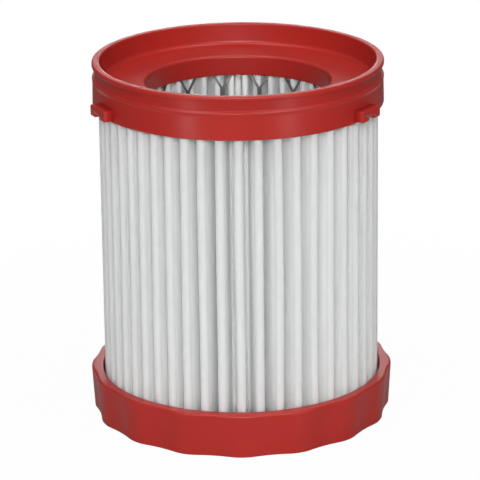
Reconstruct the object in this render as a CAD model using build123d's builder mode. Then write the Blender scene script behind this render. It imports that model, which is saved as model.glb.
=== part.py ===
from build123d import *

import os
from math import acos, atan2, cos, degrees, pi, radians, remainder, sin, sqrt, tan

os.makedirs("parts", exist_ok=True)

# Pleated cartridge filter for a wet and dry vacuum cleaner.
# Millimetres, +Z up, origin at the centre of the underside, front towards -Y.
# Angles are in degrees, measured from the front towards +X.

# Driving dimensions: the whole cartridge
overall_height = 192.0
hole_radius = 48.3

# Radial build-up from the hole outwards
collar_wall = 1.6
core_clearance = 0.3
core_thickness = 1.0
media_clearance = 0.3
pleat_depth = 21.2
skirt_clearance = 0.4
skirt_wall = 2.4
ridge_reach = 0.25

# Top cap
cap_height = 22.6
skirt_draft = 0.25
lip_height = 2.2
lip_bevel = 0.7
groove_height = 5.4
groove_depth = 1.4
ridge_rise = 1.1
ridge_fall = 1.8
rim_width = 3.9
dish_depth = 11.5
dish_draft = 0.9
dish_bevel = 2.0
floor_thickness = 2.4
hole_bevel = 1.2
collar_depth = 11.0

# Bayonet lugs on the top cap
lug_count = 3
lug_angle = -63.0
lug_lift = 1.0
lug_width = 16.8
lug_reach = 5.2
lug_height = 5.8
arch_width = 6.4
arch_height = 2.0

# Bottom cap
base_height = 23.8
base_wall = 6.45
base_draft = 1.3
base_clearance = 0.9
base_floor = 3.0
base_bevel = 1.0
base_rim_bevel = 0.8
flute_count = 16
flute_radius = 60.0
flute_depth_bottom = 1.9
flute_depth_top = 1.1

# Pleated media
pleat_count = 48
media_thickness = 0.6
tip_fold_radius = 2.05
root_fold_radius = 1.3
first_pleat = 2.4
pleat_drift = 2.9
drift_phase = 30.0

# Expanded metal core
core_columns = 16
core_angle = 9.5
core_row_pitch = 24.5
core_first_row = 7.7
strand_width = 1.2
bond_width = 2.4
bond_height = 9.5

# Potting that holds the media and the core in the caps
upper_potting_depth = 4.0
lower_potting_depth = 5.0

# Radii worked out from the build-up; the core is measured across its flat facets
collar_radius = hole_radius + collar_wall
facet_angle = 180 / core_columns
facet_spread = cos(radians(facet_angle / 2))
core_inner = collar_radius + core_clearance
core_outer = core_inner + core_thickness
core_corner = core_outer / facet_spread
media_inner = core_corner + media_clearance
media_outer = media_inner + pleat_depth
skirt_inner = media_outer + skirt_clearance
skirt_radius = skirt_inner + skirt_wall
skirt_foot_radius = skirt_radius + skirt_draft
rim_radius = skirt_radius + ridge_reach
groove_radius = rim_radius - groove_depth
dish_top_radius = rim_radius - rim_width
dish_bottom_radius = dish_top_radius - dish_draft
base_inner = media_outer + base_clearance
base_radius = base_inner + base_wall
base_foot_radius = base_radius - base_draft

# Heights worked out from the overall height
lip_bottom = overall_height - lip_height
groove_bottom = lip_bottom - groove_height
ridge_crest = groove_bottom - ridge_rise
ridge_bottom = ridge_crest - ridge_fall
skirt_bottom = overall_height - cap_height
lug_bottom = skirt_bottom + lug_lift
dish_floor = overall_height - dish_depth
channel_ceiling = dish_floor - floor_thickness
collar_bottom = dish_floor - collar_depth
media_top = channel_ceiling - upper_potting_depth
media_bottom = base_floor + lower_potting_depth
media_length = media_top - media_bottom


def polar(radius, angle):
    """Point at a radius and an angle from the front, seen from above."""
    return Vector(radius * sin(radians(angle)), -radius * cos(radians(angle)))


def tip_angle(index):
    """Angle of one pleat tip: an even pitch with the slow drift of pleats spread by hand."""
    even = index * 360 / pleat_count
    return first_pleat + even + pleat_drift * sin(radians(2 * (even - drift_phase)))


def flank_normal(tip, root, side):
    """Direction, in radians, that the straight flank between a tip and a root fold faces.

    The flank is tangent to both folds. side is +1 after the tip and -1 before it.
    """
    reach = root - tip
    return atan2(reach.Y, reach.X) - side * acos((tip_fold_radius + root_fold_radius) / reach.length)


def fold_corners(centre, radius, middle, start, end):
    """Corners of one pressed fold: three flats tangent to its radius, from one flank to the next."""
    start = middle + remainder(start - middle, 2 * pi)
    step = (middle + remainder(end - middle, 2 * pi) - start) / 8
    turns = [start + step * corner for corner in (1, 3, 5, 7)]
    return [centre + Vector(cos(turn), sin(turn)) * (radius / cos(step)) for turn in turns]


def fold_outline(offset):
    """Closed outline of the pleated sheet at a distance outwards from its middle."""
    tip_ring = media_outer - media_thickness / 2 - tip_fold_radius
    root_ring = media_inner + media_thickness / 2 + root_fold_radius
    corners = []
    for index in range(pleat_count):
        before, here, ahead = [tip_angle(index + step) for step in (-1, 0, 1)]
        tip, next_tip = polar(tip_ring, here), polar(tip_ring, ahead)
        last_root, root = polar(root_ring, (before + here) / 2), polar(root_ring, (here + ahead) / 2)
        outwards, inwards = atan2(tip.Y, tip.X), atan2(-root.Y, -root.X)
        left, right = flank_normal(tip, last_root, -1), flank_normal(tip, root, 1)
        next_left = flank_normal(next_tip, root, -1)
        corners += fold_corners(tip, tip_fold_radius + offset, outwards, left, right)
        corners += fold_corners(root, root_fold_radius - offset, inwards, right + pi, next_left + pi)
    Polyline(*corners, close=True)


# Top cap: one moulding with a dished top, a hole collar, a skirt and bayonet lugs
with BuildPart() as top_cap:
    lug_root = skirt_wall / 2
    with BuildSketch(Plane.XY.offset(lug_bottom)):
        with PolarLocations(skirt_radius, lug_count, start_angle=lug_angle - 90):
            with Locations(((lug_reach - lug_root) / 2, 0)):
                Rectangle(lug_reach + lug_root, lug_width)
    extrude(amount=lug_height)
    arch_radius = (arch_width**2 / 4 + arch_height**2) / (2 * arch_height)
    with PolarLocations(skirt_radius, lug_count, start_angle=lug_angle - 90):
        with Locations((0, 0, lug_bottom + arch_height - arch_radius)):
            Cylinder(arch_radius, 3 * lug_reach, rotation=(0, 90, 0), mode=Mode.SUBTRACT)
    with BuildSketch(Plane.XZ) as cap_section:
        with BuildLine():
            Polyline(
                (skirt_radius, ridge_bottom),
                (rim_radius, ridge_crest),
                (groove_radius, groove_bottom),
                (groove_radius, lip_bottom),
                (rim_radius, lip_bottom),
                (rim_radius, overall_height),
                (dish_top_radius, overall_height),
                (dish_bottom_radius, dish_floor),
                (hole_radius, dish_floor),
                (hole_radius, collar_bottom),
                (collar_radius, collar_bottom),
                (collar_radius, channel_ceiling),
                (skirt_inner, channel_ceiling),
                (skirt_inner, skirt_bottom),
                (skirt_foot_radius, skirt_bottom),
                close=True,
            )
        make_face()
        chamfer(cap_section.vertices().group_by(Axis.Y)[-1].sort_by(Axis.X)[-1], length=lip_bevel)
        dish_corner = cap_section.vertices().sort_by_distance((dish_bottom_radius, dish_floor))[0]
        chamfer(dish_corner, length=dish_bevel)
        hole_corner = cap_section.vertices().sort_by_distance((hole_radius, dish_floor))[0]
        chamfer(hole_corner, length=hole_bevel)
    revolve(axis=Axis.Z)
top_cap.part.label = "top_cap"
export_step(top_cap.part, "parts/top_cap.step")

# Bottom cap: a closed cup with a fluted, drafted wall that gives a grip
with BuildPart() as bottom_cap:
    with BuildSketch(Plane.XZ) as base_section:
        with BuildLine():
            Polyline(
                (0, 0),
                (base_foot_radius, 0),
                (base_radius, base_height),
                (base_inner, base_height),
                (base_inner, base_floor),
                (0, base_floor),
                close=True,
            )
        make_face()
        chamfer(base_section.vertices().group_by(Axis.Y)[-1].sort_by(Axis.X)[-1], length=base_rim_bevel)
        chamfer(base_section.vertices().group_by(Axis.Y)[0].sort_by(Axis.X)[-1], length=base_bevel)
    revolve(axis=Axis.Z)
    flute_foot = base_foot_radius - flute_depth_bottom
    flute_head = base_radius - flute_depth_top
    flute_lean = degrees(atan2(flute_head - flute_foot, base_height))
    flute_axis = (flute_foot + flute_head) / 2 + flute_radius / cos(radians(flute_lean))
    with PolarLocations(flute_axis, flute_count, start_angle=180 / flute_count - 90):
        with Locations((0, 0, base_height / 2)):
            Cylinder(flute_radius, 2 * base_height, rotation=(0, flute_lean, 0), mode=Mode.SUBTRACT)
bottom_cap.part.label = "bottom_cap"
export_step(bottom_cap.part, "parts/bottom_cap.step")

# Pleated media: one sheet folded into radial pleats and closed into a ring
with BuildPart() as pleated_media:
    with BuildSketch(Plane.XY.offset(media_bottom)):
        with BuildLine():
            fold_outline(media_thickness / 2)
        make_face()
        with BuildLine():
            fold_outline(-media_thickness / 2)
        make_face(mode=Mode.SUBTRACT)
    extrude(amount=media_length)
pleated_media.part.label = "pleated_media"
export_step(pleated_media.part, "parts/pleated_media.step")

# Support core: expanded metal rolled into a tube, bent along its bonds
facet_width = (core_inner + core_outer) * tan(radians(facet_angle / 2))
gap_half_width = facet_width - bond_width / 2
strand_rise = core_row_pitch - bond_height
strand_run = 2 * gap_half_width - facet_width
strand_slope = strand_rise * strand_run - strand_width * sqrt(strand_rise**2 + strand_run**2 - strand_width**2)
strand_slope /= strand_run**2 - strand_width**2
gap_half_height = bond_height / 2 + gap_half_width * strand_slope
core_rows = 1 + int((media_length + core_first_row - gap_half_height) / core_row_pitch)

with BuildPart() as core_gap:
    with BuildSketch(Plane.XZ.offset(core_inner - core_thickness)):
        Polygon(
            (0, gap_half_height),
            (-gap_half_width, bond_height / 2),
            (-gap_half_width, -bond_height / 2),
            (0, -gap_half_height),
            (gap_half_width, -bond_height / 2),
            (gap_half_width, bond_height / 2),
        )
    extrude(amount=3 * core_thickness)

with BuildPart() as support_core:
    with BuildSketch(Plane.XY.offset(media_bottom)):
        RegularPolygon(core_corner, 2 * core_columns, rotation=core_angle - 90)
        RegularPolygon(core_inner / facet_spread, 2 * core_columns, rotation=core_angle - 90, mode=Mode.SUBTRACT)
    extrude(amount=media_length)
    for row in range(core_rows):
        row_height = media_top + core_first_row - row * core_row_pitch
        row_angle = core_angle + row % 2 * facet_angle
        with Locations((0, 0, row_height)):
            with PolarLocations(0, core_columns, start_angle=row_angle):
                add(core_gap.part, mode=Mode.SUBTRACT)
support_core.part.label = "support_core"
export_step(support_core.part, "parts/support_core.step")

# Upper potting: a ring that fills the top of the top cap's channel
with BuildPart() as upper_potting:
    with BuildSketch(Plane.XY.offset(media_top)):
        Circle(skirt_inner)
        Circle(collar_radius, mode=Mode.SUBTRACT)
    extrude(amount=upper_potting_depth)
upper_potting.part.label = "upper_potting"
export_step(upper_potting.part, "parts/upper_potting.step")

# Lower potting: a disc poured into the bottom cap
with BuildPart() as lower_potting:
    with BuildSketch(Plane.XY.offset(base_floor)):
        Circle(base_inner)
    extrude(amount=lower_potting_depth)
lower_potting.part.label = "lower_potting"
export_step(lower_potting.part, "parts/lower_potting.step")
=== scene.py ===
"""Looks of a pleated filter cartridge, built over its solid frame.

Both caps, the media and the core are surfaces worked out with numpy in metres, with +Z up and the
front towards -Y. The potting keeps its solids. Angles around the cartridge are measured from the
front towards +X.
"""

from math import radians

import bmesh
import bpy
import numpy as np
from bpy.props import FloatProperty, FloatVectorProperty, IntProperty, PointerProperty
from bpy.types import Operator, Panel, PropertyGroup
from mathutils import Matrix, Vector


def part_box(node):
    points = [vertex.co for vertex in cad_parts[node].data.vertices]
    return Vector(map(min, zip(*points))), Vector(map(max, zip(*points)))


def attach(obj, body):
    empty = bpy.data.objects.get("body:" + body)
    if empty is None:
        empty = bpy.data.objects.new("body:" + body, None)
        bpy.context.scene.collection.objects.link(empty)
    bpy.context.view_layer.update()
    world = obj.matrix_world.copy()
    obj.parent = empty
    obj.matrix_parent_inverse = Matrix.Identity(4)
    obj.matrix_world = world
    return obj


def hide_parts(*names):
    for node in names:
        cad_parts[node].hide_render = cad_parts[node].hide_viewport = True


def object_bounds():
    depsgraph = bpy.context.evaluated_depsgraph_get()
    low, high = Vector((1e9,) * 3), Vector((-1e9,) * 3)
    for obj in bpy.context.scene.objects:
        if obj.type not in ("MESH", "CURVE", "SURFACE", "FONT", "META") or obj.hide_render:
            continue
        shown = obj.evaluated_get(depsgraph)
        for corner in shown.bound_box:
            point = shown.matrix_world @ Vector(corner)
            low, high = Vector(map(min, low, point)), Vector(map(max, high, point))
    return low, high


bl_info = {
    "name": "Pleated filter cartridge",
    "version": (1, 0, 0),
    "blender": (4, 5, 0),
    "location": "View3D > Sidebar > Filter",
    "description": "Builds the looks of a pleated filter cartridge over its solid frame",
    "category": "Object",
}

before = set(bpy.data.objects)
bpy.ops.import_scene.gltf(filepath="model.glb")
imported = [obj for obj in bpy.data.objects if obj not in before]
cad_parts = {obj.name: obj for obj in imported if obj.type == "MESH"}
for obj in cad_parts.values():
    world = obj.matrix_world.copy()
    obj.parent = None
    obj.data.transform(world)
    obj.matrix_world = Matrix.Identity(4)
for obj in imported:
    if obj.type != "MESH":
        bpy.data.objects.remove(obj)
CAD_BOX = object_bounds()
CAP_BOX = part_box("top_cap")
BASE_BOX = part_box("bottom_cap")
MEDIA_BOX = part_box("pleated_media")
MM = 0.001
TIP_ATTRIBUTE = "tip_share"
SWAY_SEED = 4
EDGE_STEPS = 7
NOISE_SPAN = (0.3, 0.7)
FLOOR_REACH = 0.4
FLOOR_LEVEL = -0.1 * MM
AMBIENT = 0.15
BACKDROP_EDGE = (0.94, 0.97)

# Each lamp's name, azimuth and elevation in degrees, distance and size in metres, and level.
LAMPS = (
    ("front_softbox", 0, 22, 1.8, (0.36, 0.4), 0.47),
    ("left_front_softbox", -20, 20, 1.8, (0.3, 0.5), 0.14),
    ("left_strip", -38, -5, 1.5, (0.08, 0.3), 0.08),
    ("left_top_softbox", -60, 68, 1.6, (0.5, 0.5), 0.31),
    ("right_front_softbox", 20, 20, 1.8, (0.3, 0.5), 0.14),
    ("right_strip", 38, -5, 1.5, (0.08, 0.3), 0.08),
    ("right_top_softbox", 60, 68, 1.6, (0.5, 0.5), 0.31),
    ("back_softbox", 180, 60, 1.6, (0.8, 0.8), 0.13),
    ("low_back_softbox", 180, 4, 1.6, (0.4, 0.2), 0.14),
    ("back_fill_softbox", 180, -25, 1.8, (0.6, 0.4), 0.55),
    ("floor_softbox", 0, -80, 1.6, (0.8, 0.8), 0.2),
)


def length(name, description, millimetres):
    """A size that a user may change, given in millimetres."""
    return FloatProperty(
        name=name,
        description=description,
        default=millimetres * MM,
        precision=5,
        unit="LENGTH",
        subtype="DISTANCE",
    )


def turn(name, description, degrees):
    """An angle that a user may change, given in degrees."""
    return FloatProperty(
        name=name, description=description, default=radians(degrees), unit="ROTATION", subtype="ANGLE"
    )


def number(name, description, default):
    """A count that a user may change."""
    return IntProperty(name=name, description=description, default=default, min=1)


def colour(name, description, default):
    """A linear colour that a user may change."""
    return FloatVectorProperty(
        name=name, description=description, default=default, size=3, min=0.0, max=1.0, subtype="COLOR"
    )


class CapSizes(PropertyGroup):
    """Sizes of the top cap and its lugs."""

    rim_radius: length("Rim radius", "Outer radius of the lip and the ridge", CAP_BOX[1].x / MM)
    rim_width: length("Rim width", "Width of the flat top of the rim", 3.9)
    lip_height: length("Lip height", "Height of the lip at the top", 2.2)
    groove_height: length("Groove height", "Height of the groove below the lip", 5.4)
    groove_depth: length("Groove depth", "Depth of the groove from the lip", 1.4)
    ridge_rise: length("Ridge rise", "Height from the ridge's crest up to the groove", 1.1)
    ridge_fall: length("Ridge fall", "Height from the ridge's crest down to the skirt", 1.8)
    ridge_reach: length("Ridge reach", "How far the ridge stands out from the skirt", 0.25)
    skirt_wall: length("Skirt wall", "Thickness of the skirt at its top", 2.4)
    skirt_draft: length("Skirt draft", "How far the skirt widens towards its lower edge", 0.25)
    dish_depth: length("Dish depth", "Depth of the dished top below the rim", 11.5)
    dish_draft: length("Dish draft", "How far the dish wall leans in", 0.9)
    floor_thickness: length("Floor thickness", "Thickness of the dish floor", 2.4)
    hole_radius: length("Hole radius", "Radius of the hole in the dish", 48.3)
    collar_wall: length("Collar wall", "Thickness of the collar round the hole", 1.6)
    collar_depth: length("Collar depth", "How far the collar hangs below the dish floor", 11.0)
    lug_count: number("Lugs", "Bayonet lugs round the skirt", 3)
    lug_angle: turn("Lug angle", "Angle of the first lug from the front", -63.0)
    lug_width: length("Lug width", "Width of a lug round the skirt", 16.8)
    lug_reach: length("Lug reach", "How far a lug stands out from the skirt", 5.2)
    lug_lift: length("Lug lift", "Height of a lug's foot above the skirt's lower edge", 1.0)
    lug_height: length("Lug height", "Height of a lug", 5.8)
    arch_width: length("Arch width", "Width of the arch under a lug", 6.4)
    arch_height: length("Arch height", "Height of the arch under a lug", 2.0)


class BaseSizes(PropertyGroup):
    """Sizes of the bottom cap."""

    rim_radius: length("Rim radius", "Outer radius at the top edge", 80.3)
    rim_wall: length("Rim wall", "Thickness of the wall at the top edge", 6.45)
    draft: length("Draft", "How much smaller the foot's radius is than the rim's", 1.3)
    floor: length("Floor", "Thickness of the floor", 3.0)
    flute_count: number("Flutes", "Grip flutes round the wall", 16)
    flute_radius: length("Flute radius", "Radius of a flute's hollow", 60.0)
    flute_foot_depth: length("Flute depth at the foot", "Depth of a flute at the underside", 1.9)
    flute_rim_depth: length("Flute depth at the rim", "Depth of a flute at the top edge", 1.1)


class MediaSizes(PropertyGroup):
    """Sizes of the pleated media."""

    pleat_count: number("Pleats", "Pleats round the cartridge", 48)
    thickness: length("Thickness", "Thickness of the sheet", 0.6)
    outer_radius: length("Outer radius", "Radius over the pleat tips", 72.95)
    inner_radius: length("Inner radius", "Radius inside the pleat roots", 51.75)
    tip_fold: length("Tip fold", "Radius of the outer folds", 2.05)
    root_fold: length("Root fold", "Radius of the inner folds", 1.3)
    first_pleat: turn("First pleat", "Angle of the first pleat from the front", 2.4)
    drift: turn("Drift", "How far pleats drift from an even pitch", 2.9)
    drift_phase: turn("Drift phase", "Where the drift starts, from the front", 30.0)
    sway: length("Sway", "How far a pleat tip wanders between the caps", 0.35)


class CoreSizes(PropertyGroup):
    """Sizes of the expanded metal core."""

    columns: number("Columns", "Gaps round the core", 16)
    rows: number("Rows", "Rows of gaps, the cut one at the top too", 7)
    first_angle: turn("First angle", "Angle of the first column of gaps from the front", 9.5)
    inner_radius: length("Inner radius", "Radius inside the flat facets", 50.2)
    thickness: length("Thickness", "Thickness of the sheet", 1.0)
    row_pitch: length("Row pitch", "Height from one row of gaps to the next", 24.5)
    first_row: length("First row", "How far the first row is centred above the core's end", 7.7)
    strand_width: length("Strand width", "Width of a strand", 1.2)
    bond_width: length("Bond width", "Width where two strands join", 2.4)
    bond_height: length("Bond height", "Height where two strands join", 9.5)


class Finishes(PropertyGroup):
    """Colours of the surfaces."""

    plastic: colour("Cap plastic", "Moulded plastic of both caps", (0.36, 0.0185, 0.0135))
    media: colour("Media", "Pleated sheet", (0.955, 0.97, 0.965))
    steel: colour("Core steel", "Expanded metal of the core", (0.16, 0.165, 0.165))
    potting: colour("Potting", "Cast resin in the caps", (0.62, 0.6, 0.55))


def unit(vectors):
    """The vectors scaled to length one."""
    return vectors / np.linalg.norm(vectors, axis=-1, keepdims=True)


def rounded(section, closed=True, hold=0.12 * MM):
    """An outline whose corners are arcs: each arc touches both sides of its corner.

    A row of the section is a corner's place in metres and its radius in millimetres. The arc's centre lies
    on the corner's bisector at radius / sin(half angle), and the arc runs between the two touching
    points at radius / tan(half angle). A point a little way along each side holds the flat there
    flat. An open outline keeps its two ends.
    """
    section = np.array(section, float)
    corners, radii = section[:, :2], section[:, 2:] * MM
    before = unit(np.roll(corners, 1, 0) - corners)
    after = unit(np.roll(corners, -1, 0) - corners)
    half = np.arccos(np.clip((before * after).sum(1, keepdims=True), -1, 1)) / 2
    centre = corners + unit(before + after) * radii / np.sin(half)
    start = corners + before * radii / np.tan(half)
    end = corners + after * radii / np.tan(half)
    sweep = (np.pi - 2 * half)[:, None]
    part = np.linspace(0, 1, EDGE_STEPS)[None, :, None]
    from_start = np.sin((1 - part) * sweep) * (start - centre)[:, None]
    from_end = np.sin(part * sweep) * (end - centre)[:, None]
    arc = centre[:, None] + (from_start + from_end) / np.sin(sweep)
    points = np.concatenate([(start + before * hold)[:, None], arc, (end + after * hold)[:, None]], 1)
    if closed:
        return points.reshape(-1, 2)
    return np.concatenate([corners[:1], points[1:-1].reshape(-1, 2), corners[-1:]])


def around(radius, angle, height):
    """Points at a radius, at an angle from the front, and at a height."""
    radius, angle, height = np.broadcast_arrays(radius, angle, height)
    return np.stack([radius * np.sin(angle), -radius * np.cos(angle), height], -1)


def surface(name, points, wrap_rows=True, wrap_columns=True, close_ends=False):
    """A smooth mesh from a grid of points, one quad for each four neighbours.

    Rows or columns may join up with the first one. close_ends fills the first and the last row
    with a face each. The faces are turned so that a closed surface holds a positive volume.
    """
    rows, columns = points.shape[:2]
    index = np.arange(rows * columns).reshape(rows, columns)
    grid = np.concatenate([index, index[:1]], 0) if wrap_rows else index
    grid = np.concatenate([grid, grid[:, :1]], 1) if wrap_columns else grid
    quads = np.stack([grid[:-1, :-1], grid[1:, :-1], grid[1:, 1:], grid[:-1, 1:]], -1).reshape(-1, 4)
    flat = points.reshape(-1, 3)
    a, b, c, d = ((flat - flat.mean(0))[quads[:, k]] for k in range(4))
    if np.einsum("ij,ij->", a + b + c + d, np.cross(c - a, d - b)) < 0:
        quads = quads[:, ::-1]
        ends = [index[0][::-1], index[-1]]
    else:
        ends = [index[0], index[-1][::-1]]
    faces = [quads.reshape(-1)] + (ends if close_ends else [])
    sizes = np.concatenate([np.full(len(quads), 4), np.full(2 if close_ends else 0, columns)])
    mesh = bpy.data.meshes.new(name)
    mesh.vertices.add(len(flat))
    mesh.vertices.foreach_set("co", flat.ravel())
    mesh.loops.add(int(sizes.sum()))
    mesh.loops.foreach_set("vertex_index", np.concatenate(faces).astype(np.int32))
    mesh.polygons.add(len(sizes))
    mesh.polygons.foreach_set("loop_start", (np.cumsum(sizes) - sizes).astype(np.int32))
    mesh.polygons.foreach_set("use_smooth", np.ones(len(sizes), bool))
    mesh.update(calc_edges=True)
    return mesh


def merged(mesh, distance=0.001 * MM):
    """The mesh with points that fall together joined, so that poles and seams are closed."""
    work = bmesh.new()
    work.from_mesh(mesh)
    bmesh.ops.remove_doubles(work, verts=work.verts, dist=distance)
    work.to_mesh(mesh)
    work.free()
    return mesh


def joined(name, meshes):
    """One mesh that holds several."""
    work = bmesh.new()
    for mesh in meshes:
        work.from_mesh(mesh)
        bpy.data.meshes.remove(mesh)
    mesh = bpy.data.meshes.new(name)
    work.to_mesh(mesh)
    work.free()
    return mesh


def place(name, mesh, material, node):
    """Puts a finished piece into the scene, in place of one solid of the frame."""
    piece = bpy.data.objects.new(name, mesh)
    mesh.materials.append(material)
    bpy.context.scene.collection.objects.link(piece)
    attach(piece, "root")
    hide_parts(node)


def lathe(outline, segments=288):
    """A grid from an outline of radius and height turned about the axis."""
    angle = np.arange(segments)[:, None] / segments * 2 * np.pi
    return around(outline[None, :, 0], angle, outline[None, :, 1])


def cap_outline(sizes):
    """Section of the top cap: skirt, ridge, groove, lip, dish, hole collar and channel."""
    top, foot = CAP_BOX[1].z, CAP_BOX[0].z
    rim = sizes.rim_radius
    skirt = rim - sizes.ridge_reach
    inner = skirt - sizes.skirt_wall
    groove = rim - sizes.groove_depth
    lip_foot = top - sizes.lip_height
    groove_foot = lip_foot - sizes.groove_height
    ridge_crest = groove_foot - sizes.ridge_rise
    ridge_foot = ridge_crest - sizes.ridge_fall
    dish_top = rim - sizes.rim_width
    dish_foot = dish_top - sizes.dish_draft
    floor = top - sizes.dish_depth
    ceiling = floor - sizes.floor_thickness
    collar = sizes.hole_radius + sizes.collar_wall
    collar_foot = floor - sizes.collar_depth
    return rounded([
        (inner, foot, 0.4),
        (skirt + sizes.skirt_draft, foot, 0.5),
        (skirt, ridge_foot, 3.0),
        (rim, ridge_crest, 0.4),
        (groove, groove_foot, 0.35),
        (groove, lip_foot, 0.35),
        (rim, lip_foot, 0.4),
        (rim, top, 0.9),
        (dish_top, top, 0.8),
        (dish_foot, floor, 2.2),
        (sizes.hole_radius, floor, 1.5),
        (sizes.hole_radius, collar_foot, 0.5),
        (collar, collar_foot, 0.4),
        (collar, ceiling, 0.5),
        (inner, ceiling, 0.5),
    ])


def lug_grid(sizes, angle):
    """One bayonet lug: its front outline carried outwards from inside the skirt.

    The outline is a block with an arch, flat at its crown, in its lower edge. Over the last stretch
    it shrinks towards its middle as the cosine of a quarter turn, which rounds the outer edges.
    """
    edge, crown_share = 0.7 * MM, 0.7
    foot = CAP_BOX[0].z + sizes.lug_lift
    head = foot + sizes.lug_height
    half, arch = sizes.lug_width / 2, sizes.arch_width / 2
    crown, crest = foot + sizes.arch_height, crown_share * arch
    outline = rounded([
        (-half, foot, 0.8),
        (-arch, foot, 0.5),
        (-crest, crown, 0.8),
        (crest, crown, 0.8),
        (arch, foot, 0.5),
        (half, foot, 0.8),
        (half, head, 0.6),
        (-half, head, 0.6),
    ])
    middle = np.array([0.0, (foot + head) / 2])
    extent = np.array([half, sizes.lug_height / 2])
    skirt = sizes.rim_radius - sizes.ridge_reach
    bend = np.linspace(0, np.pi / 2, EDGE_STEPS)
    reach = skirt + sizes.lug_reach - edge
    outward = np.concatenate([[skirt - sizes.skirt_wall / 2, reach - edge], reach + edge * np.sin(bend)])
    inset = np.concatenate([[0, 0], edge * (1 - np.cos(bend))])[:, None, None]
    shrunk = middle + (outline - middle)[None] * (1 - inset / extent)
    out = np.array([np.sin(angle), -np.cos(angle)])
    along = np.array([np.cos(angle), np.sin(angle)])
    flat = out * outward[:, None, None] + along * shrunk[..., :1]
    return np.concatenate([flat, shrunk[..., 1:]], -1)


def base_grid(sizes, flute_steps=26):
    """The bottom cap: its section turned about the axis, with the wall drawn in at the flutes.

    A flute is a hollow of a set radius whose floor leans with the wall. The wall's radius is the
    smaller of its own and the hollow's, joined softly as (a + b - sqrt((a - b)^2 + k^2)) / 2, where
    k is the softness. A point moves in full at the outer face, and within the still part of the rim
    by the inner face it doesn't move.
    """
    height = BASE_BOX[1].z
    rim, foot = sizes.rim_radius, sizes.rim_radius - sizes.draft
    inner = rim - sizes.rim_wall
    foot_round, softness, still = 1.2, 0.7 * MM, 1.3 * MM
    outline = rounded([
        (0, 0, 0),
        (foot, 0, foot_round),
        (rim, height, 1.2),
        (inner, height, 0.9),
        (inner, sizes.floor, 0.8),
        (0, sizes.floor, 0),
    ], closed=False)
    radius, level = outline[None, :, 0], outline[None, :, 1]
    segments = sizes.flute_count * flute_steps
    angle = np.arange(segments)[:, None] / segments * 2 * np.pi
    pitch = 2 * np.pi / sizes.flute_count
    off = np.abs(np.mod(angle, pitch) - pitch / 2)
    rise = np.clip(level / height, 0, 1)
    wall = foot + (rim - foot) * rise
    hollow = wall - sizes.flute_foot_depth - (sizes.flute_rim_depth - sizes.flute_foot_depth) * rise
    centre = hollow + sizes.flute_radius
    hollow = centre * np.cos(off) - np.sqrt(sizes.flute_radius**2 - (centre * np.sin(off)) ** 2)
    drawn = (wall + hollow - np.sqrt((wall - hollow) ** 2 + softness**2)) / 2
    start, full = inner + still, foot - foot_round * MM
    share = np.clip((radius - start) / (full - start), 0, 1)
    return around(radius - share * (wall - drawn), angle, level)


def wrapped(angle):
    """The angle brought between minus and plus half a turn."""
    return np.mod(angle + np.pi, 2 * np.pi) - np.pi


def fold_points(centre, radius, middle, start, end, steps):
    """Arcs of the folds and their outward directions, from one flank's normal to the next one's."""
    start = middle + wrapped(start - middle)
    end = middle + wrapped(end - middle)
    bend = start[:, None] + (end - start)[:, None] * np.linspace(0, 1, steps)
    normal = np.stack([np.cos(bend), np.sin(bend)], -1)
    return centre[:, None] + radius * normal, normal


def pleat_path(sizes, tip_steps=13, root_steps=9, flank_steps=5):
    """Middle line of the folded sheet seen from above, with its outward normals and tip shares.

    Tips stand at an even pitch plus a slow drift, and each root stands halfway between two tips.
    Tip and root folds are arcs, and the flanks are straight lines that touch both arcs: the
    normal of a flank leans from the line between the two centres by the arc cosine of the sum
    of the radii over that line's length. The tip share is 1 on a tip's crest and 0 at a root.
    """
    count = sizes.pleat_count
    even = np.arange(count) * 2 * np.pi / count
    tip_angle = sizes.first_pleat + even + sizes.drift * np.sin(2 * (even - sizes.drift_phase))
    ahead = np.append(tip_angle[1:], tip_angle[0] + 2 * np.pi)
    root_angle = (tip_angle + ahead) / 2
    tip_ring = sizes.outer_radius - sizes.thickness / 2 - sizes.tip_fold
    root_ring = sizes.inner_radius + sizes.thickness / 2 + sizes.root_fold
    tips = around(tip_ring, tip_angle, 0.0)[:, :2]
    roots = around(root_ring, root_angle, 0.0)[:, :2]
    folds = sizes.tip_fold + sizes.root_fold

    def flank_normal(reach, side):
        lean = np.arccos(folds / np.linalg.norm(reach, axis=1))
        return np.arctan2(reach[:, 1], reach[:, 0]) - side * lean

    right = flank_normal(roots - tips, 1)
    left = flank_normal(np.roll(roots, 1, 0) - tips, -1)
    next_left = np.roll(left, -1)
    tip_line, tip_normal = fold_points(tips, sizes.tip_fold, tip_angle - np.pi / 2, left, right, tip_steps)
    root_line, root_normal = fold_points(
        roots, sizes.root_fold, root_angle + np.pi / 2, right + np.pi, next_left + np.pi, root_steps
    )
    part = np.linspace(0, 1, flank_steps + 2)[1:-1][None, :, None]
    down = tip_line[:, -1:] * (1 - part) + root_line[:, :1] * part
    up = root_line[:, -1:] * (1 - part) + np.roll(tip_line, -1, 0)[:, :1] * part
    along = np.ones_like(part)
    down_normal = tip_normal[:, -1:] * along
    up_normal = np.roll(tip_normal, -1, 0)[:, :1] * along
    line = np.concatenate([tip_line, down, root_line, up], 1)
    normal = np.concatenate([tip_normal, down_normal, -root_normal, up_normal], 1)
    crest = tip_ring + sizes.tip_fold
    share = (np.linalg.norm(line, axis=-1) - root_ring) / (crest - root_ring)
    return line, normal, np.clip(share, 0, 1)


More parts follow.
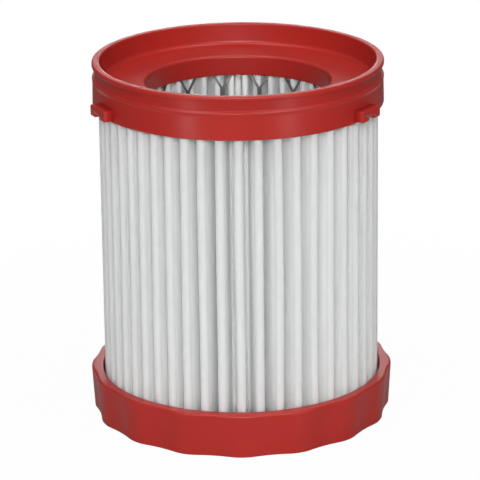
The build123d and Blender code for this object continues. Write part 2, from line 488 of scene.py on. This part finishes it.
def media_grid(sizes, levels=15):
    """The pleated sheet: its folded line carried up between the caps, outside and inside.

    Between the caps each pleat tip sways sideways by a sum of two sines of its height, with a
    strength and a phase of its own, which is nothing at both ends. The tip share of the inside is 0.
    """
    line, normal, share = pleat_path(sizes)
    count = len(line)
    second_part = 0.4
    chance = np.random.default_rng(SWAY_SEED)
    strength = chance.normal(0, 1, (2, count, 1, 1))
    rise = np.linspace(0, 1, levels)[None, None, :]
    sway = strength[0] * np.sin(np.pi * rise) + second_part * strength[1] * np.sin(2 * np.pi * rise)
    sway = sizes.sway * sway * share[..., None]
    outward = unit(line)
    sideways = np.stack([-outward[..., 1], outward[..., 0]], -1)
    height = MEDIA_BOX[0].z + rise * (MEDIA_BOX[1].z - MEDIA_BOX[0].z)
    skins = []
    for side in (0.5, -0.5):
        skin = line + side * sizes.thickness * normal
        skin = skin[:, :, None] + sideways[:, :, None] * sway[..., None]
        level = np.broadcast_to(height[..., None], skin.shape[:3] + (1,))
        skins.append(np.concatenate([skin, level], -1))
    grid = np.concatenate([skins[0], skins[1][:, :, ::-1]], 2).reshape(-1, 2 * levels, 3)
    outside = np.repeat(share.reshape(-1, 1), levels, 1)
    return grid, np.concatenate([outside, np.zeros_like(outside)], 1).ravel()


def core_cells(sizes):
    """The expanded metal sheet as one frame round each gap, bent along its bonds into a tube.

    On the flat sheet a gap is a hexagon with upright sides at the bonds. Its slope m follows from
    the strand's width s, the rise a and the run b of a strand: (ab - s sqrt(a^2 + b^2 - s^2)) /
    (b^2 - s^2). The frame runs from the middle lines of the strands, which the next gaps share,
    over a rounded edge to the back. Round the tube a point's radius is that of a flat facet.
    """
    hold, edge = 0.35, 0.45
    facet = np.pi / sizes.columns
    middle_radius = sizes.inner_radius + sizes.thickness / 2
    width = 2 * middle_radius * np.tan(facet / 2)
    gap = width - sizes.bond_width / 2
    rise, run, strand = sizes.row_pitch - sizes.bond_height, 2 * gap - width, sizes.strand_width
    slope = (rise * run - strand * np.sqrt(rise**2 + run**2 - strand**2)) / (run**2 - strand**2)
    side, tip = sizes.bond_height / 2, sizes.bond_height / 2 + gap * slope
    shared_side, shared_tip = (sizes.row_pitch - width * slope) / 2, (sizes.row_pitch + width * slope) / 2
    ring = np.array([(0, 1, 0), (-1, 0, 1), (-1, 0, -1), (0, -1, 0), (1, 0, -1), (1, 0, 1)], float)
    hole = np.stack([ring[:, 0] * gap, ring[:, 1] * tip + ring[:, 2] * side], -1)
    shared = np.stack([ring[:, 0] * width, ring[:, 1] * shared_tip + ring[:, 2] * shared_side], -1)
    bend = np.linspace(np.pi / 2, -np.pi / 2, EDGE_STEPS)
    across = np.concatenate([[0, hold], 1 - edge + edge * np.cos(bend), [hold, 0]])
    depth = np.concatenate([[1, 1], np.sin(bend), [-1, -1]]) * sizes.thickness / 2
    sheet = shared[:, None] + (hole - shared)[:, None] * across[None, :, None]
    row, column = np.divmod(np.arange(sizes.rows * sizes.columns), sizes.columns)
    start = sizes.first_angle + (2 * column + row % 2) * facet
    level = MEDIA_BOX[1].z + sizes.first_row - row * sizes.row_pitch
    angle = start[:, None, None] + sheet[None, ..., 0] / width * facet
    off = np.mod(angle - sizes.first_angle, facet) - facet / 2
    radius = (middle_radius + depth) / np.cos(off)
    return around(radius, angle, level[:, None, None] + sheet[None, ..., 1])


def core_mesh(sizes):
    """The frames of all gaps joined into one tube and cut level at both ends."""
    meshes = [surface("gap", cell, wrap_columns=False) for cell in core_cells(sizes)]
    mesh = merged(joined("support_core_mesh", meshes))
    work = bmesh.new()
    work.from_mesh(mesh)
    for height, up in ((MEDIA_BOX[0].z, -1), (MEDIA_BOX[1].z, 1)):
        parts = work.verts[:] + work.edges[:] + work.faces[:]
        cut = bmesh.ops.bisect_plane(
            work, geom=parts, plane_co=(0, 0, height), plane_no=(0, 0, up), clear_outer=True
        )
        rim = [part for part in cut["geom_cut"] if isinstance(part, bmesh.types.BMEdge)]
        bmesh.ops.edgeloop_fill(work, edges=rim)
    bmesh.ops.recalc_face_normals(work, faces=work.faces)
    work.to_mesh(mesh)
    work.free()
    return mesh


def node_group(name, inputs, outputs):
    """An empty shader node group with float inputs and outputs, and its two end nodes."""
    group = bpy.data.node_groups.new(name, "ShaderNodeTree")
    for label, default in inputs:
        socket = group.interface.new_socket(label, in_out="INPUT", socket_type="NodeSocketFloat")
        socket.default_value = default
    for label in outputs:
        group.interface.new_socket(label, in_out="OUTPUT", socket_type="NodeSocketFloat")
    return group, group.nodes.new("NodeGroupInput"), group.nodes.new("NodeGroupOutput")


def surface_grain():
    """Shared effect: a coarse mottle for colour and a fine grain for bump and roughness."""
    name = "surface_grain"
    if name in bpy.data.node_groups:
        return bpy.data.node_groups[name]
    inputs = [("Mottle Scale", 30.0), ("Grain Scale", 1500.0)]
    group, start, end = node_group(name, inputs, ["Mottle", "Grain"])
    where = group.nodes.new("ShaderNodeTexCoord")
    for label, detail in (("Mottle", 4.0), ("Grain", 2.0)):
        noise = group.nodes.new("ShaderNodeTexNoise")
        noise.inputs["Detail"].default_value = detail
        group.links.new(where.outputs["Object"], noise.inputs["Vector"])
        group.links.new(start.outputs[label + " Scale"], noise.inputs["Scale"])
        group.links.new(noise.outputs["Fac"], end.inputs[label])
    return group


def new_material(name, roughness, mottle_scale, grain_scale):
    """A material with a Principled shader and the shared grain, and the parts to finish it."""
    material = bpy.data.materials.new(name)
    material.use_nodes = True
    nodes, links = material.node_tree.nodes, material.node_tree.links
    shader = nodes["Principled BSDF"]
    shader.inputs["Roughness"].default_value = roughness
    grain = nodes.new("ShaderNodeGroup")
    grain.node_tree = surface_grain()
    grain.inputs["Mottle Scale"].default_value = mottle_scale
    grain.inputs["Grain Scale"].default_value = grain_scale
    return material, nodes, links, shader, grain


def combined(nodes, links, operation, first, second):
    """One math node over two outputs."""
    both = nodes.new("ShaderNodeMath")
    both.operation = operation
    links.new(first, both.inputs[0])
    links.new(second, both.inputs[1])
    return both.outputs[0]


def ranged(nodes, links, value, start, end, low, high):
    """A value carried from one range to another, held at both ends."""
    span = nodes.new("ShaderNodeMapRange")
    limits = {"From Min": start, "From Max": end, "To Min": low, "To Max": high}
    for label, limit in limits.items():
        span.inputs[label].default_value = limit
    links.new(value, span.inputs["Value"])
    return span.outputs["Result"]


def shade_between(nodes, links, shader, factor, low, high, span=NOISE_SPAN):
    """Base colour that runs from one colour to another over a span of a factor."""
    ramp = nodes.new("ShaderNodeValToRGB")
    ramp.color_ramp.elements[0].position = span[0]
    ramp.color_ramp.elements[1].position = span[1]
    ramp.color_ramp.elements[0].color = (*low, 1)
    ramp.color_ramp.elements[1].color = (*high, 1)
    links.new(factor, ramp.inputs["Fac"])
    links.new(ramp.outputs["Color"], shader.inputs["Base Color"])


def vary_roughness(nodes, links, shader, factor, low, high):
    """Roughness that runs between two values with a factor."""
    roughness = ranged(nodes, links, factor, *NOISE_SPAN, low, high)
    links.new(roughness, shader.inputs["Roughness"])


def add_bump(nodes, links, shader, height, strength, distance):
    """A bump on the shader's normal from a height."""
    bump = nodes.new("ShaderNodeBump")
    bump.inputs["Strength"].default_value = strength
    bump.inputs["Distance"].default_value = distance
    links.new(height, bump.inputs["Height"])
    links.new(bump.outputs["Normal"], shader.inputs["Normal"])


def scaled(colours, factor):
    """A colour made lighter or darker by a factor."""
    return tuple(factor * channel for channel in colours)


def moulded_plastic(tint):
    """Satin moulded plastic with a faint flow mottle and a fine mould texture."""
    name = "moulded_plastic"
    if name in bpy.data.materials:
        return bpy.data.materials[name]
    material, nodes, links, shader, grain = new_material(
        name, roughness=0.36, mottle_scale=26.0, grain_scale=2400.0
    )
    shader.inputs["Specular IOR Level"].default_value = 0.3
    shade_between(nodes, links, shader, grain.outputs["Mottle"], scaled(tint, 0.96), scaled(tint, 1.04))
    vary_roughness(nodes, links, shader, grain.outputs["Mottle"], low=0.3, high=0.37)
    add_bump(nodes, links, shader, grain.outputs["Grain"], strength=0.12, distance=0.1 * MM)
    return material


def spunbond_media(tint):
    """White spunbond sheet: matt, with light spread inside it, and painted shade that greys the tips a
    little against the rest.
    """
    # Painted shade: the pleat tips are greyed towards their crests, to even them against the flanks, which
    # get less light in the valleys.
    painted_tip_shade, painted_tip_span, spread = 0.69, (0.84, 0.92), 1.5 * MM
    material, nodes, links, shader, grain = new_material(
        "spunbond_media", roughness=0.85, mottle_scale=160.0, grain_scale=3000.0
    )
    tip = nodes.new("ShaderNodeAttribute")
    tip.attribute_name = TIP_ATTRIBUTE
    # The tip share greys the tips here: painted shade, not a colour of the sheet.
    shade_between(nodes, links, shader, tip.outputs["Fac"], tint, scaled(tint, painted_tip_shade), painted_tip_span)
    shader.inputs["Specular IOR Level"].default_value = 0.2
    shader.inputs["Subsurface Weight"].default_value = 1.0
    shader.inputs["Subsurface Radius"].default_value = (1.0, 1.0, 1.0)
    shader.inputs["Subsurface Scale"].default_value = spread
    add_bump(nodes, links, shader, grain.outputs["Grain"], strength=0.25, distance=0.15 * MM)
    return material


def galvanised_steel(tint):
    """Dull galvanised steel with soft spangle."""
    material, nodes, links, shader, grain = new_material(
        "galvanised_steel", roughness=0.42, mottle_scale=220.0, grain_scale=1800.0
    )
    shader.inputs["Metallic"].default_value = 0.6
    shade_between(nodes, links, shader, grain.outputs["Mottle"], scaled(tint, 0.85), scaled(tint, 1.15))
    vary_roughness(nodes, links, shader, grain.outputs["Mottle"], low=0.34, high=0.52)
    add_bump(nodes, links, shader, grain.outputs["Grain"], strength=0.1, distance=0.1 * MM)
    return material


def cast_resin(tint):
    """Cast potting resin: smooth, slightly uneven, and a little cloudy."""
    material, nodes, links, shader, grain = new_material(
        "cast_resin", roughness=0.4, mottle_scale=40.0, grain_scale=300.0
    )
    shade_between(nodes, links, shader, grain.outputs["Mottle"], scaled(tint, 0.9), scaled(tint, 1.08))
    add_bump(nodes, links, shader, grain.outputs["Mottle"], strength=0.3, distance=0.6 * MM)
    return material


class FILTER_OT_top_cap(Operator):
    """Build the top cap with its dish, hole collar, skirt and bayonet lugs"""

    bl_idname = "filter_build.top_cap"
    bl_label = "Top cap"

    def execute(self, context):
        sizes = context.scene.filter_cap
        turns = sizes.lug_angle + np.arange(sizes.lug_count) / sizes.lug_count * 2 * np.pi
        body = surface("cap_body", lathe(cap_outline(sizes)))
        lugs = [
            surface("cap_lug", lug_grid(sizes, angle), wrap_rows=False, close_ends=True)
            for angle in turns
        ]
        mesh = joined("top_cap_mesh", [body, *lugs])
        plastic = moulded_plastic(context.scene.filter_finish.plastic)
        place("top_cap_moulding", mesh, plastic, "top_cap")
        return {"FINISHED"}


class FILTER_OT_bottom_cap(Operator):
    """Build the bottom cap with its fluted grip"""

    bl_idname = "filter_build.bottom_cap"
    bl_label = "Bottom cap"

    def execute(self, context):
        grid = base_grid(context.scene.filter_base)
        mesh = merged(surface("bottom_cap_mesh", grid, wrap_columns=False))
        plastic = moulded_plastic(context.scene.filter_finish.plastic)
        place("bottom_cap_moulding", mesh, plastic, "bottom_cap")
        return {"FINISHED"}


class FILTER_OT_media(Operator):
    """Build the pleated media"""

    bl_idname = "filter_build.media"
    bl_label = "Pleated media"

    def execute(self, context):
        grid, tip_share = media_grid(context.scene.filter_media)
        mesh = surface("pleated_media_mesh", grid)
        # The tip share also masks the painted shade on the pleat tips in the media's material.
        tips = mesh.attributes.new(TIP_ATTRIBUTE, "FLOAT", "POINT")
        tips.data.foreach_set("value", tip_share)
        sheet = spunbond_media(context.scene.filter_finish.media)
        place("pleated_sheet", mesh, sheet, "pleated_media")
        return {"FINISHED"}


class FILTER_OT_core(Operator):
    """Build the expanded metal core"""

    bl_idname = "filter_build.core"
    bl_label = "Support core"

    def execute(self, context):
        mesh = core_mesh(context.scene.filter_core)
        steel = galvanised_steel(context.scene.filter_finish.steel)
        place("expanded_core", mesh, steel, "support_core")
        return {"FINISHED"}


class FILTER_OT_potting(Operator):
    """Finish the potting in both caps"""

    bl_idname = "filter_build.potting"
    bl_label = "Potting"

    def execute(self, context):
        resin = cast_resin(context.scene.filter_finish.potting)
        for node in ("upper_potting", "lower_potting"):
            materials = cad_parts[node].data.materials
            materials.clear()
            materials.append(resin)
        return {"FINISHED"}


def area_lamp(name, azimuth, elevation, distance, size, level):
    """A soft lamp that faces the middle of the cartridge from an azimuth and an elevation.

    At level 1 a white surface square to the lamp shows as white: the power is level * (pi * distance)^2.
    """
    target = Vector((0, 0, (CAD_BOX[0].z + CAD_BOX[1].z) / 2))
    across, rise = np.radians(azimuth), np.radians(elevation)
    away = Vector((np.sin(across) * np.cos(rise), -np.cos(across) * np.cos(rise), np.sin(rise)))
    lamp = bpy.data.lights.new(name, "AREA")
    lamp.shape = "RECTANGLE"
    lamp.size, lamp.size_y = size
    lamp.energy = level * (np.pi * distance) ** 2
    thing = bpy.data.objects.new(name, lamp)
    thing.location = target + away * distance
    thing.rotation_euler = away.to_track_quat("Z", "Y").to_euler()
    bpy.context.scene.collection.objects.link(thing)


def seen_directly(nodes, links, glossy_part=None):
    """1 on camera, glossy and transmission rays, which see the white background, and 0 on others.

    Where a part is given, glossy rays see the background only there.
    """
    path = nodes.new("ShaderNodeLightPath")
    glossy = path.outputs["Is Glossy Ray"]
    if glossy_part is not None:
        glossy = combined(nodes, links, "MULTIPLY", glossy, glossy_part)
    camera, through = path.outputs["Is Camera Ray"], path.outputs["Is Transmission Ray"]
    straight = combined(nodes, links, "MAXIMUM", camera, through)
    return combined(nodes, links, "MAXIMUM", straight, glossy)


def floor_material():
    """White floor that keeps a faint shadow by the cartridge and fades into white.

    It is clear from below and lets lamplight through, so that the underside can be seen.
    """
    paint_level, near_white, near = 0.4, 0.98, 0.3 * FLOOR_REACH
    material = bpy.data.materials.new("white_floor")
    material.use_nodes = True
    nodes, links = material.node_tree.nodes, material.node_tree.links
    nodes.remove(nodes["Principled BSDF"])
    paint, glow = nodes.new("ShaderNodeBsdfDiffuse"), nodes.new("ShaderNodeEmission")
    paint.inputs["Color"].default_value = (paint_level, paint_level, paint_level, 1)
    where, away = nodes.new("ShaderNodeTexCoord"), nodes.new("ShaderNodeVectorMath")
    away.operation = "LENGTH"
    links.new(where.outputs["Object"], away.inputs[0])
    white = ranged(nodes, links, away.outputs["Value"], near, FLOOR_REACH, near_white, 1.0)
    far = ranged(nodes, links, away.outputs["Value"], near, FLOOR_REACH, 0.0, 1.0)
    share = combined(nodes, links, "MULTIPLY", seen_directly(nodes, links, far), white)
    blend, below = nodes.new("ShaderNodeMixShader"), nodes.new("ShaderNodeMixShader")
    links.new(share, blend.inputs["Fac"])
    links.new(paint.outputs[0], blend.inputs[1])
    links.new(glow.outputs[0], blend.inputs[2])
    side, clear = nodes.new("ShaderNodeNewGeometry"), nodes.new("ShaderNodeBsdfTransparent")
    path = nodes.new("ShaderNodeLightPath")
    see_through = combined(
        nodes, links, "MAXIMUM", side.outputs["Backfacing"], path.outputs["Is Shadow Ray"]
    )
    links.new(see_through, below.inputs["Fac"])
    links.new(blend.outputs[0], below.inputs[1])
    links.new(clear.outputs[0], below.inputs[2])
    links.new(below.outputs[0], nodes["Material Output"].inputs["Surface"])
    return material


def white_world():
    """World that is white where it is seen and gives a soft fill elsewhere.

    Reflections see it white on a backdrop behind the cartridge, in the directions close to +Y.
    """
    world = bpy.data.worlds.new("studio")
    world.use_nodes = True
    nodes, links = world.node_tree.nodes, world.node_tree.links
    way, part = nodes.new("ShaderNodeTexCoord"), nodes.new("ShaderNodeSeparateXYZ")
    links.new(way.outputs["Generated"], part.inputs[0])
    backdrop = ranged(nodes, links, part.outputs["Y"], *BACKDROP_EDGE, 0.0, 1.0)
    level = ranged(nodes, links, seen_directly(nodes, links, backdrop), 0.0, 1.0, AMBIENT, 1.0)
    nodes["Background"].inputs["Color"].default_value = (1, 1, 1, 1)
    links.new(level, nodes["Background"].inputs["Strength"])
    bpy.context.scene.world = world


def photo_camera():
    """Camera at the photograph's angle: above the front, with a long lens and a slight roll."""
    data = bpy.data.cameras.new("camera")
    data.sensor_width = 36.0
    data.lens = 225.0
    data.clip_end = 20.0
    aim = Vector((0, 0, 87.4 * MM))
    tilt, distance = radians(18.592), 1591.4 * MM
    back = Vector((0, -np.cos(tilt), np.sin(tilt)))
    pitch, pan, roll = radians(0.165), radians(0.002), radians(-0.697)
    turn_up = Matrix.Rotation(pitch, 4, "X")
    turn_side = Matrix.Rotation(-pan, 4, "Y")
    turn_round = Matrix.Rotation(roll, 4, "Z")
    look = (-back).to_track_quat("-Z", "Y").to_matrix().to_4x4()
    stand = Matrix.Translation(aim + back * distance) @ look
    thing = bpy.data.objects.new("camera", data)
    thing.matrix_world = stand @ turn_up @ turn_side @ turn_round
    bpy.context.scene.collection.objects.link(thing)
    bpy.context.scene.camera = thing


class FILTER_OT_stage(Operator):
    """Set up the floor, the lamps, the world and the camera"""

    bl_idname = "filter_build.stage"
    bl_label = "Stage"

    def execute(self, context):
        eighths = np.array([[-1, -3], [1, 3]])
        corners = around(np.sqrt(2) * FLOOR_REACH, np.pi / 4 * eighths, FLOOR_LEVEL)
        mesh = surface("floor_mesh", corners, wrap_rows=False, wrap_columns=False)
        mesh.materials.append(floor_material())
        floor = bpy.data.objects.new("floor", mesh)
        context.scene.collection.objects.link(floor)
        for lamp in LAMPS:
            area_lamp(*lamp)
        white_world()
        photo_camera()
        context.scene.view_settings.view_transform = "Standard"
        return {"FINISHED"}


class FILTER_PT_panel(Panel):
    """Lists the steps that build the cartridge"""

    bl_idname = "FILTER_PT_panel"
    bl_label = "Filter cartridge"
    bl_space_type = "VIEW_3D"
    bl_region_type = "UI"
    bl_category = "Filter"

    def draw(self, context):
        for step in STEPS:
            self.layout.operator(step.bl_idname)


STEPS = (
    FILTER_OT_top_cap,
    FILTER_OT_bottom_cap,
    FILTER_OT_media,
    FILTER_OT_core,
    FILTER_OT_potting,
    FILTER_OT_stage,
)
GROUPS = {
    "filter_cap": CapSizes,
    "filter_base": BaseSizes,
    "filter_media": MediaSizes,
    "filter_core": CoreSizes,
    "filter_finish": Finishes,
}


def register():
    for group in GROUPS.values():
        bpy.utils.register_class(group)
    for name, group in GROUPS.items():
        setattr(bpy.types.Scene, name, PointerProperty(type=group))
    for step in (*STEPS, FILTER_PT_panel):
        bpy.utils.register_class(step)


def unregister():
    for step in reversed((*STEPS, FILTER_PT_panel)):
        bpy.utils.unregister_class(step)
    for name, group in GROUPS.items():
        delattr(bpy.types.Scene, name)
        bpy.utils.unregister_class(group)


def main():
    """Registers the add-on and builds every piece in order."""
    register()
    bpy.ops.filter_build.top_cap()
    bpy.ops.filter_build.bottom_cap()
    bpy.ops.filter_build.media()
    bpy.ops.filter_build.core()
    bpy.ops.filter_build.potting()
    bpy.ops.filter_build.stage()


if __name__ == "__main__":
    main()
